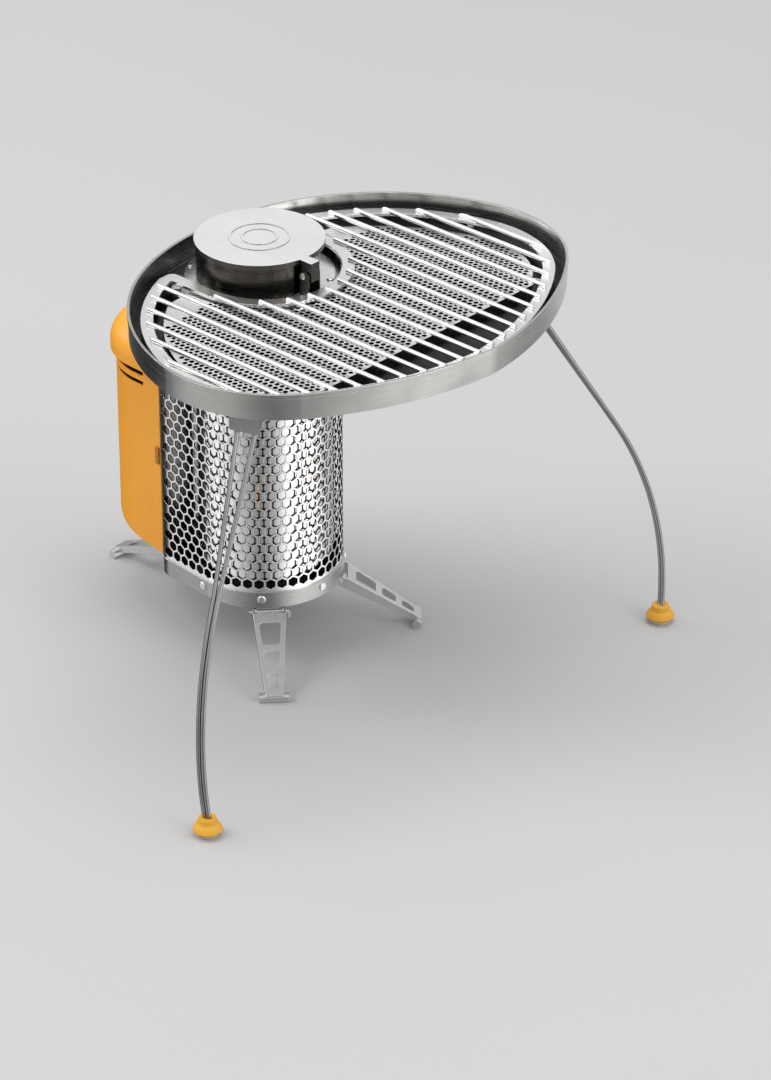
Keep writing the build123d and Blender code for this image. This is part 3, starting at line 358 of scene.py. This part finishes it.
def sheet_object(name, places, triangles, thickness, outer, inner, body):
    """A sheet of triangles thickened behind its faces, with its own finish inside the holes and behind; both
    callers give it painted shade there.
    """
    mesh = bpy.data.meshes.new(name)
    mesh.from_pydata(places, [], triangles)
    for material in (outer, inner):
        mesh.materials.append(material)
    piece = bpy.data.objects.new(name, mesh)
    bpy.context.scene.collection.objects.link(piece)
    work = bmesh.new()
    work.from_mesh(mesh)
    bmesh.ops.delete(work, geom=[v for v in work.verts if not v.link_faces], context="VERTS")
    work.to_mesh(mesh)
    work.free()
    thicken = piece.modifiers.new("thickness", "SOLIDIFY")
    thicken.thickness = thickness
    thicken.offset = -1
    thicken.material_offset = 1
    thicken.material_offset_rim = 1
    settled = bpy.data.meshes.new_from_object(piece.evaluated_get(bpy.context.evaluated_depsgraph_get()))
    piece.modifiers.clear()
    piece.data = settled
    settled.name = name
    settled.shade_smooth()
    settled.set_sharp_from_angle(angle=radians(35))
    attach(piece, body)
    return piece


SHELL_PITCH, SHELL_HOLE = 7.6 * MM, 6.35 * MM
SHELL_SHEET, SHELL_MARGIN, SHELL_STEP = 0.8 * MM, 2.6 * MM, 1.9 * MM
# Half the width of the back, the radius of its corners, and how far round them the holes go.
SHELL_BACK_Y, SHELL_CORNER, CORNER_TURN = 49 * MM, 12 * MM, radians(32)


def shell_back(cut):
    """The shell's plain back: the CAD shell up to a plane across X."""
    plain = bpy.data.objects.new("shell_back", NODES["mesh_shell"].data.copy())
    bpy.context.scene.collection.objects.link(plain)
    work = bmesh.new()
    work.from_mesh(plain.data)
    bmesh.ops.bisect_plane(work, geom=work.verts[:] + work.edges[:] + work.faces[:],
                           plane_co=(cut, 0, 0), plane_no=(1, 0, 0), clear_outer=True)
    work.to_mesh(plain.data)
    work.free()
    plain.data.materials.clear()
    plain.data.materials.append(MESH)
    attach(plain, "stove")
    return plain


def stove_shell():
    """The shell: front, flanks and part of the back corners pierced with hexagons, and a plain back."""
    low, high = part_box("mesh_shell")
    radius, back = (high.y - low.y) / 2, AXIS.x - low.x
    lean = atan2(radius - SHELL_BACK_Y, back)
    flank = hypot(back, radius - SHELL_BACK_Y) - SHELL_CORNER * tan((pi / 2 - lean) / 2)
    front = radius * pi / 2
    total = front + flank + SHELL_CORNER * CORNER_TURN
    corner_x = -flank * cos(lean) - SHELL_CORNER * sin(lean)
    corner_y = radius - flank * sin(lean) - SHELL_CORNER * cos(lean)

    def place(s, z):
        """Point on the outside of the sheet at a distance round it from its front."""
        side, along = (1 if s > 0 else -1), abs(s)
        if along < front:
            x, y = radius * cos(along / radius), radius * sin(along / radius)
        elif along < front + flank:
            x, y = -(along - front) * cos(lean), radius - (along - front) * sin(lean)
        else:
            turn = lean + (along - front - flank) / SHELL_CORNER
            x, y = corner_x - SHELL_CORNER * sin(turn), corner_y + SHELL_CORNER * cos(turn)
        return AXIS.x + x, AXIS.y + side * y, z

    edge = SHELL_MARGIN + SHELL_HOLE / 2
    steps = int(2 * total / SHELL_STEP)
    bottom = [Vector((-total + 2 * total * k / steps, low.z)) for k in range(steps + 1)]
    border = bottom + [Vector((v.x, high.z)) for v in reversed(bottom)]
    columns = int((total - SHELL_MARGIN) / SHELL_PITCH)
    holes = [
        hexagon(s, z, SHELL_HOLE)
        for s, z in staggered((-columns * SHELL_PITCH, low.z + edge), (total, high.z - edge), SHELL_PITCH)
        if abs(s) < total - edge
    ]
    points, triangles = cut_sheet(border, [range(len(border))], holes)
    places = [place(p.x, p.y) for p in points]
    piece = sheet_object("shell_mesh", places, triangles, SHELL_SHEET, MESH, PAINTED_SHADE, "stove")
    plain = shell_back(place(total, 0)[0])
    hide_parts("mesh_shell")
    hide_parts("mesh_shell")


DIFFUSER_PITCH, DIFFUSER_HOLE, DIFFUSER_SHEET = 4.3 * MM, 3.1 * MM, 1.0 * MM
# A hole's clearance, and how far from the stove's axis the holes start: along X, and all round.
HOLE_MARGIN, HOLES_FROM_X, HOLES_FROM_R = DIFFUSER_HOLE * 1.05, 12 * MM, 58 * MM
# Least upward part of an upper face's normal, merging grid per metre, and how far above rays start.
UPWARD, MERGE_GRID, RAY_START = 0.5, 1e5, 50 * MM


def diffuser_sheet():
    """The diffuser as pierced sheet: its upper faces with a staggered grid of holes, inside a plain edge."""
    mesh = NODES["diffuser"].data
    upper = [p for p in mesh.polygons if p.normal.z > UPWARD]
    used = sorted({v for p in upper for v in p.vertices})
    flat, number, index = [], {}, {}
    for v in used:
        co = mesh.vertices[v].co
        key = (round(co.x * MERGE_GRID), round(co.y * MERGE_GRID))
        if key not in number:
            number[key] = len(flat)
            flat.append(Vector((co.x, co.y)))
        index[v] = number[key]
    faces = [[index[v] for v in p.vertices] for p in upper]
    faces = [f for f in faces if len(set(f)) == len(f)]
    surface = BVHTree.FromPolygons([v.co for v in mesh.vertices], [list(p.vertices) for p in upper])
    low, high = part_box("diffuser")

    def height(x, y):
        """Top of the sheet at a point of its plan, or None beside it."""
        hit = surface.ray_cast(Vector((x, y, high.z + RAY_START)), Vector((0, 0, -1)))[0]
        return None if hit is None else hit.z

    def clear(x, y):
        """True where a hole keeps its margin from every edge of the sheet."""
        ring = [(x + HOLE_MARGIN * cos(a), y + HOLE_MARGIN * sin(a)) for a in (0, pi / 2, pi, 3 * pi / 2)]
        outside = x > AXIS.x + HOLES_FROM_X and hypot(x - AXIS.x, y - AXIS.y) > HOLES_FROM_R
        return outside and all(height(*p) is not None for p in ring)

    grid = staggered(low, high, DIFFUSER_PITCH)
    holes = [hexagon(x, y, DIFFUSER_HOLE, pi / 6) for x, y in grid if clear(x, y)]
    points, triangles = cut_sheet(flat, faces, holes)
    places = []
    for p in points:
        near = surface.find_nearest(Vector((p.x, p.y, high.z)))[0]
        top = height(p.x, p.y)
        places.append((p.x, p.y, near.z if top is None else top))
    piece = sheet_object("diffuser_sheet", places, triangles, DIFFUSER_SHEET, BRIGHT, PAINTED_SHADE, "grill")
    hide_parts("diffuser")


# ------------------------------------------------------------------------ floor, light, camera

FLOOR_SIZE, FLOOR_DROP = 60, 0.2 * MM
LIGHT_AIM = Vector((0, 0, 0.15))


def studio():
    """Pale floor and soft lights."""
    bpy.ops.mesh.primitive_plane_add(size=FLOOR_SIZE, location=(0, 0, -FLOOR_DROP))
    floor = bpy.context.object
    floor.name = "floor"
    floor.visible_glossy = False
    material, tree, shader = new_material("floor_paint")
    shader.inputs["Roughness"].default_value = 0.9
    shader.inputs["Specular IOR Level"].default_value = 0.0
    tone = spread(tree, noise(tree, 3, detail=2), 0, 1)
    tree.links.new(blend(tree, tone, (0.435, 0.435, 0.435), (0.44, 0.44, 0.44)), shader.inputs["Base Color"])
    floor.data.materials.append(material)
    for name, place, size, power in (
        ("key", (-1.2, -1.6, 2.6), 1.6, 34),
        ("fill", (2.6, 0.4, 1.8), 1.4, 22),
        ("top", (0.1, 0.2, 2.6), 1.4, 20),
        ("left", (-2.4, -0.7, 1.1), 0.9, 12),
    ):
        light = bpy.data.lights.new(name, "AREA")
        light.shape = "SQUARE"
        light.size = size
        light.energy = power
        lamp = bpy.data.objects.new(name, light)
        lamp.location = place
        lamp.rotation_euler = (LIGHT_AIM - Vector(place)).to_track_quat("-Z", "Y").to_euler()
        bpy.context.scene.collection.objects.link(lamp)


def surround():
    """World light by direction: a bright top, and sides that change from dark to white round the compass."""
    world = bpy.data.worlds.new("surround")
    bpy.context.scene.world = world
    world.use_nodes = True
    tree = world.node_tree
    tree.nodes.clear()
    out = tree.nodes.new("ShaderNodeOutputWorld")
    sky = tree.nodes.new("ShaderNodeBackground")
    where = tree.nodes.new("ShaderNodeTexCoord")
    split = tree.nodes.new("ShaderNodeSeparateXYZ")
    tree.links.new(where.outputs["Generated"], split.inputs["Vector"])
    angle = calculate(tree, "ARCTAN2", split.outputs["Y"], split.outputs["X"])
    ramp = tree.nodes.new("ShaderNodeValToRGB")
    tree.links.new(spread(tree, angle, 0, 1, -pi, pi), ramp.inputs["Fac"])
    stops = ((-180, 0.03), (-160, 0.02), (-148, 0.70), (-128, 1.05), (-100, 0.80), (-78, 0.50), (-52, 0.22),
             (-28, 0.42), (0, 1.4), (40, 1.3), (72, 0.40), (110, 0.85), (150, 0.12), (180, 0.03))
    while len(ramp.color_ramp.elements) < len(stops):
        ramp.color_ramp.elements.new(0.5)
    for element, (degrees_round, value) in zip(ramp.color_ramp.elements, stops):
        element.position = (degrees_round + 180) / 360
        element.color = (value, value, value, 1)
    up = spread(tree, split.outputs["Z"], 0, 1, 0.05, 0.55)
    colour = blend(tree, up, ramp.outputs["Color"], (0.95, 0.95, 0.96))
    tree.links.new(colour, sky.inputs["Color"])
    plain = tree.nodes.new("ShaderNodeBackground")
    plain.inputs["Color"].default_value = (0.6, 0.6, 0.6, 1)
    path = tree.nodes.new("ShaderNodeLightPath")
    mix = tree.nodes.new("ShaderNodeMixShader")
    tree.links.new(path.outputs["Is Camera Ray"], mix.inputs["Fac"])
    tree.links.new(sky.outputs["Background"], mix.inputs[1])
    tree.links.new(plain.outputs["Background"], mix.inputs[2])
    tree.links.new(mix.outputs["Shader"], out.inputs["Surface"])


def camera():
    """A long lens at the viewing angle, aimed past the stove so that the object sits above the middle."""
    azimuth, elevation = radians(42.59), radians(29.87)
    distance, lens = 3.181, 153.37
    aside = Vector((-0.0148, 0.1352))
    aim = Vector((AXIS.x + aside.x, AXIS.y + aside.y, 0))
    back = Vector((sin(azimuth) * cos(elevation), -cos(azimuth) * cos(elevation), sin(elevation)))
    data = bpy.data.cameras.new("camera")
    data.lens = lens
    data.sensor_fit = "AUTO"
    data.clip_end = 100
    viewer = bpy.data.objects.new("camera", data)
    viewer.location = aim + back * distance
    viewer.rotation_euler = (pi / 2 - elevation, 0, azimuth)
    bpy.context.scene.collection.objects.link(viewer)
    bpy.context.scene.camera = viewer


camera()
finish_nodes()
stove_shell()
diffuser_sheet()
studio()
surround()
bpy.context.scene.view_settings.view_transform = "Standard"
